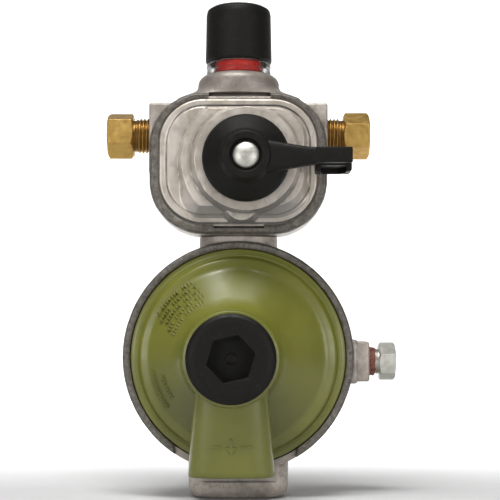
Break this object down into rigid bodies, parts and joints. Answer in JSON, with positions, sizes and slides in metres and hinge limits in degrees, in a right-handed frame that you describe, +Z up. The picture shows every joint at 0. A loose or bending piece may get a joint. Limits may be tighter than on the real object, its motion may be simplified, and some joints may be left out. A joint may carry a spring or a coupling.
{
  "type": "gas pressure regulator",
  "caption": "Two-stage changeover gas regulator: brass side inlets, turning lever, sight glass with red and green flag, round green diaphragm housing, downward vent and outlet.",
  "frame": {"origin": "centre of the mounting pad on the back of the first stage, on its face", "axes": "+Z up, -Y out of the front towards the viewer, +X to the right seen from the front"},
  "size_m": [0.1124, 0.062, 0.1912],
  "materials": {
    "casting": "as cast, slightly rough, grey",
    "cover_metal": "light grey, satin, cast",
    "green_paint": "semi-gloss olive green paint",
    "brass": "machined",
    "bronze": "sintered, rough",
    "black_plastic": "moulded, satin black",
    "rubber": "matt",
    "plated_steel": "bright zinc plated",
    "spring_steel": "drawn wire",
    "moulded_plastic": "moulded, off-white",
    "clear_plastic": "clear moulded plastic",
    "red_plastic": "moulded, red",
    "green_plastic": "moulded, green"
  },
  "bodies": {
    "housing": {"first_stage_body": "casting", "first_stage_cover": "cover_metal", "first_stage_diaphragm": "rubber", "first_stage_spring": "spring_steel", "first_stage_spring_seat": "plated_steel", "fulcrum_pin": "spring_steel", "gauge_port_plug": "plated_steel", "indicator_cap": "black_plastic", "indicator_lens": "clear_plastic", "indicator_spring": "spring_steel", "inlet_filter_left": "bronze", "inlet_filter_right": "bronze", "inlet_fitting_left": "brass", "inlet_fitting_right": "brass", "main_spring": "spring_steel", "poppet_spring_left": "spring_steel", "poppet_spring_right": "spring_steel", "relief_spring": "spring_steel", "rocker_pin_left": "spring_steel", "rocker_pin_right": "spring_steel", "second_stage_body": "casting", "second_stage_bonnet": "green_paint", "second_stage_diaphragm": "rubber", "second_stage_orifice": "brass", "spindle_seal": "rubber", "transfer_gasket": "rubber", "transfer_nipple": "brass", "vent_retaining_ring": "plated_steel", "vent_screen": "spring_steel"},
    "changeover": {"changeover_lever": "black_plastic", "knob_spindle": "plated_steel", "changeover_cam": "brass"},
    "indicator": {"indicator_piston": "moulded_plastic", "indicator_red_band": "red_plastic", "indicator_green_band": "green_plastic"},
    "closing_cap_thread": {"closing_cap_gasket": "rubber"},
    "closing_cap": {"closing_cap": "black_plastic"},
    "adjuster_thread": {"spring_cup": "plated_steel"},
    "adjuster": {"adjusting_screw": "moulded_plastic"},
    "relief_stem": {"relief_stem": "plated_steel", "relief_nut": "plated_steel"},
    "second_stage_plate": {"second_stage_plate": "plated_steel"},
    "second_stage_lever": {"second_stage_lever": "plated_steel"},
    "second_stage_valve": {"valve_plunger": "moulded_plastic", "valve_seat_disc": "rubber"},
    "first_stage_plate": {"first_stage_plate": "plated_steel"},
    "rocker_left": {"rocker_left": "plated_steel"},
    "rocker_right": {"rocker_right": "plated_steel"},
    "inlet_poppet_left": {"inlet_poppet_left": "moulded_plastic"},
    "inlet_poppet_right": {"inlet_poppet_right": "moulded_plastic"}
  },
  "joints": [
    {"name": "changeover_turn", "type": "hinge", "parent": "housing", "child": "changeover", "pos_m": [0.003, -0.042, -0.0003], "axis": [0, -1, 0], "range_deg": [0, 180]},
    {"name": "indicator_lift", "type": "slide", "parent": "housing", "child": "indicator", "axis": [0, 0, 1], "range_m": [0, 0.0062], "stiffness_N_per_m": 200, "springref_m": -0.005, "deforming": ["indicator_spring"]},
    {"name": "closing_cap_travel", "type": "slide", "parent": "housing", "child": "closing_cap_thread", "axis": [0, -1, 0], "range_m": [0, 0.006]},
    {"name": "closing_cap_turn", "type": "hinge", "parent": "closing_cap_thread", "child": "closing_cap", "pos_m": [-0.0023, -0.06, -0.0748], "axis": [0, -1, 0], "range_deg": [0, 1080]},
    {"name": "adjuster_travel", "type": "slide", "parent": "housing", "child": "adjuster_thread", "axis": [0, 1, 0], "range_m": [-0.0015, 0.0015], "deforming": ["main_spring"]},
    {"name": "adjuster_turn", "type": "hinge", "parent": "adjuster_thread", "child": "adjuster", "pos_m": [-0.0023, -0.0474, -0.0748], "axis": [0, 1, 0], "range_deg": [-360, 360]},
    {"name": "second_stage_stroke", "type": "slide", "parent": "housing", "child": "relief_stem", "axis": [0, -1, 0], "range_m": [0, 0.003], "stiffness_N_per_m": 600, "springref_m": -0.01, "deforming": ["second_stage_diaphragm"]},
    {"name": "relief_lift", "type": "slide", "parent": "relief_stem", "child": "second_stage_plate", "axis": [0, -1, 0], "range_m": [0, 0.001], "stiffness_N_per_m": 1500, "springref_m": -0.003, "deforming": ["relief_spring"]},
    {"name": "second_stage_lever_swing", "type": "hinge", "parent": "housing", "child": "second_stage_lever", "pos_m": [0, -0.012, -0.0565], "axis": [1, 0, 0], "range_deg": [-12, 0]},
    {"name": "second_stage_valve_lift", "type": "slide", "parent": "housing", "child": "second_stage_valve", "axis": [0, 0, 1], "range_m": [0, 0.0008]},
    {"name": "first_stage_stroke", "type": "slide", "parent": "housing", "child": "first_stage_plate", "axis": [0, -1, 0], "range_m": [0, 0.001], "stiffness_N_per_m": 3000, "springref_m": -0.003, "deforming": ["first_stage_spring", "first_stage_diaphragm"]},
    {"name": "rocker_left_swing", "type": "hinge", "parent": "housing", "child": "rocker_left", "pos_m": [-0.011, -0.02, 0.012], "axis": [0, 0, 1], "range_deg": [-8, 0]},
    {"name": "rocker_right_swing", "type": "hinge", "parent": "housing", "child": "rocker_right", "pos_m": [0.011, -0.02, 0.012], "axis": [0, 0, 1], "range_deg": [0, 8]},
    {"name": "inlet_poppet_left_close", "type": "slide", "parent": "housing", "child": "inlet_poppet_left", "axis": [1, 0, 0], "range_m": [0, 0.0007], "deforming": ["poppet_spring_left"]},
    {"name": "inlet_poppet_right_close", "type": "slide", "parent": "housing", "child": "inlet_poppet_right", "axis": [-1, 0, 0], "range_m": [0, 0.0007], "deforming": ["poppet_spring_right"]}
  ],
  "couplings": [
    {"joint": "closing_cap_turn", "follows": "closing_cap_travel", "rad_per_m": 3141.6},
    {"joint": "adjuster_turn", "follows": "adjuster_travel", "rad_per_m": 4188.8},
    {"joint": "second_stage_lever_swing", "follows": "second_stage_stroke", "rad_per_m": -63.7},
    {"joint": "second_stage_valve_lift", "follows": "second_stage_stroke", "ratio": 0.2548},
    {"joint": "rocker_left_swing", "follows": "first_stage_stroke", "rad_per_m": -135.1},
    {"joint": "rocker_right_swing", "follows": "first_stage_stroke", "rad_per_m": 135.1},
    {"joint": "inlet_poppet_left_close", "follows": "first_stage_stroke", "ratio": 0.6486},
    {"joint": "inlet_poppet_right_close", "follows": "first_stage_stroke", "ratio": 0.6486}
  ]
}
